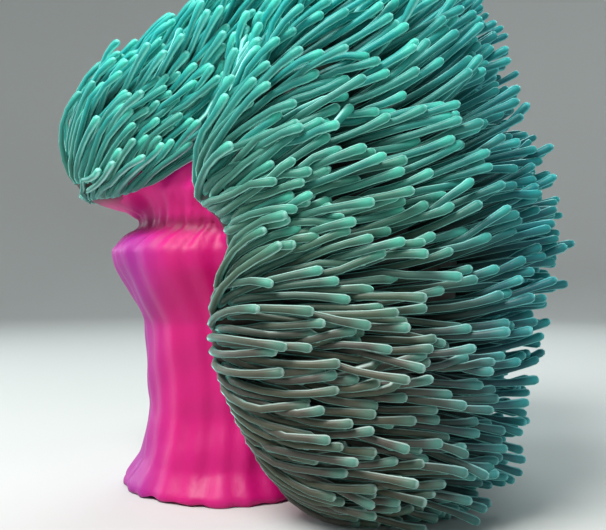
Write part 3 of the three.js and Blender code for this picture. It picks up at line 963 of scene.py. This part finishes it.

# %% [markdown]
# ## Flesh of the column and disc
#
# The column is a strong magenta, with soft upright streaks, a violet painted shade on the
# left of its bulge, and a deeper red below its crease, with painted shade in the crease itself.
# Inside the margin the skin turns to the dark brown-green of the disc, darkened further as a
# painted shade for the gaps between the tentacles, and round the mouth it grows pale. Two
# attributes on the skin's points say how far each lies past the margin and how near the mouth,
# so that the colours follow the form.

# %% Skin material
MAGENTA, PINK = colour("#ce0478"), colour("#e21c8c")
# the crease red is painted shade in the crease and the skin's own tone in blotches; the violet is
# painted shade
BLOTCH_AND_CREASE_SHADE_RED, DEEP_RED, VIOLET_BULGE_SHADE = colour("#64052e"), colour("#a2045c"), colour("#6a2290")
# the disc's dark colour is partly its own and partly painted shade for the gaps
DISC_DARK_AND_GAP_SHADE, DISC_BROWN = colour("#1c2a22"), colour("#33231a")
LIP_PALE, THROAT = colour("#b4bd86"), colour("#5c1236")
# heights of the painted shade in the crease
CREASE_ENDS = ((0.180, 0.188), (0.199, 0.190))  # heights where its colour fades in and out

places, normals = mesh_arrays(skin.data)
toward = unit(places - DISC_CENTRE)
on_column = column_share(places)
past = np.where(on_column > 0.05, -20, past_margin(toward))
for name, values in (("past", past), ("mouth", np.where(near_mouth, oval, 9))):
    layer = skin.data.attributes.new(name, "FLOAT", "POINT")
    layer.data.foreach_set("value", np.asarray(values, float))


def skin_material():
    n = Nodes("column_and_disc_flesh")
    streaks = n.noise(22, 4, (1, 1, 0.18))
    clouds = n.noise(14, 3)
    axes = n.add("ShaderNodeSeparateXYZ")
    n.link(n.place(), axes.inputs[0])
    column = n.mix(n.ramp(streaks, 0.35, 0.7), MAGENTA, PINK)
    # random darker blotches, the skin's own tone
    column = n.mix(n.ramp(clouds, 0.5, 0.75, 0, 0.35), column, BLOTCH_AND_CREASE_SHADE_RED)
    column = n.mix(n.ramp(axes.outputs["Z"], 0.205, 0.180, 0, 0.6), column, DEEP_RED)
    # violet painted shade on the left of the bulge
    leftwards = n.ramp(axes.outputs["X"], -0.030, -0.066)
    bulge_shade = n.math("MULTIPLY", leftwards, n.ramp(axes.outputs["Z"], 0.215, 0.175))
    column = n.mix(n.math("MULTIPLY", bulge_shade, 0.55), column, VIOLET_BULGE_SHADE)
    # painted shade in the crease
    from_below, from_above = (n.ramp(axes.outputs["Z"], *ends) for ends in CREASE_ENDS)
    crease_shade = n.math("MULTIPLY", from_below, from_above)
    column = n.mix(n.math("MULTIPLY", crease_shade, 0.65), column, BLOTCH_AND_CREASE_SHADE_RED)
    # the disc's own dark colour, made darker still as painted shade for the gaps between the tentacles
    disc = n.mix(n.ramp(clouds, 0.4, 0.65), DISC_DARK_AND_GAP_SHADE, DISC_BROWN)
    from_slit = n.attribute("mouth")
    disc = n.mix(n.ramp(from_slit, 2.6, 1.2), disc, LIP_PALE)
    disc = n.mix(n.ramp(from_slit, 0.75, 0.35), disc, THROAT)
    whole = n.mix(n.ramp(n.attribute("past"), -0.5, 2.0), column, disc)
    n.set(Base_Color=whole, Roughness=n.ramp(streaks, 0.3, 0.7, 0.46, 0.6), Specular_IOR_Level=0.3)
    n.set(Subsurface_Weight=0.2, Subsurface_Scale=0.008, Coat_Weight=0.06, Coat_Roughness=0.5)
    n.shader.inputs["Subsurface Radius"].default_value = (1.0, 0.35, 0.5)
    n.bump(n.noise(160, 4, (1, 1, 0.5)), 0.35, 0.0012)
    return n.material


skin.data.materials.append(skin_material())
print("skin coloured")

# %% [markdown]
# ## Stage and light
#
# A plain pale floor bends up all round into a wall, so that it has no edge. One broad lamp
# stands high on the camera's side, a weak one fills from the right, and two more, from behind
# and from the column's side, draw the edges. A dim, even sky leaves the gaps between the
# tentacles dark.

# %% Floor and lights
FLOOR_LEVEL = -0.3 * MM
FLOOR_RADIUS, BEND_RADIUS, WALL_TOP = 1.9, 0.9, 3.2
STAGE_SIDES = 64
LAMPS_AIM_AT = Vector((0.08, 0, 0.18))


def make_floor():
    """A round floor that bends up into a wall, spun from half its section."""
    bm = bmesh.new()
    section = [(0, 0)]
    for turn in range(0, 91, 6):
        a = math.radians(turn)
        section.append((FLOOR_RADIUS + BEND_RADIUS * math.sin(a), BEND_RADIUS * (1 - math.cos(a))))
    section.append((FLOOR_RADIUS + BEND_RADIUS, WALL_TOP))
    verts = [bm.verts.new((r, 0, FLOOR_LEVEL + z)) for r, z in section]
    edges = [bm.edges.new(pair) for pair in zip(verts, verts[1:])]
    bmesh.ops.spin(bm, geom=verts + edges, axis=(0, 0, 1), cent=(0, 0, 0),
                   steps=STAGE_SIDES, angle=2 * math.pi, use_merge=True)
    bmesh.ops.remove_doubles(bm, verts=bm.verts[:], dist=1e-5)
    return object_of("floor", bm)


def add_light(name, place, power, size, tint):
    data = bpy.data.lights.new(name, "AREA")
    data.energy, data.size, data.color = power, size, tint
    lamp = bpy.data.objects.new(name, data)
    lamp.location = place
    aim = LAMPS_AIM_AT - lamp.location
    lamp.rotation_euler = aim.to_track_quat("-Z", "Y").to_euler()
    bpy.context.collection.objects.link(lamp)


floor = make_floor()
paint = Nodes("floor_paint")
paint.set(Base_Color=colour("#bfc2c1"), Roughness=0.7)
floor.data.materials.append(paint.material)
floor.data.shade_smooth()

add_light("key", (-0.50, -0.80, 1.35), 38, 0.7, (1.0, 0.98, 0.95))
add_light("fill", (1.3, -0.9, 0.6), 2.5, 1.2, (0.85, 0.95, 1.0))
add_light("back", (0.5, 1.2, 1.3), 15, 0.9, (0.9, 1.0, 1.0))
add_light("side", (-1.3, 0.5, 0.6), 11, 0.8, (0.9, 0.97, 1.0))
sky = bpy.data.worlds.new("sky")
sky.use_nodes = True
sky.node_tree.nodes["Background"].inputs["Color"].default_value = (0.80, 0.88, 0.92, 1)
sky.node_tree.nodes["Background"].inputs["Strength"].default_value = 0.3
bpy.context.scene.world = sky
bpy.context.scene.view_settings.view_transform = "Standard"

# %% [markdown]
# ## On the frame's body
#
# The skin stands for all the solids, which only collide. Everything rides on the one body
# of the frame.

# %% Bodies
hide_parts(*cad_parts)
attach(skin, "root")
for coat in coats:
    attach(coat, "root")
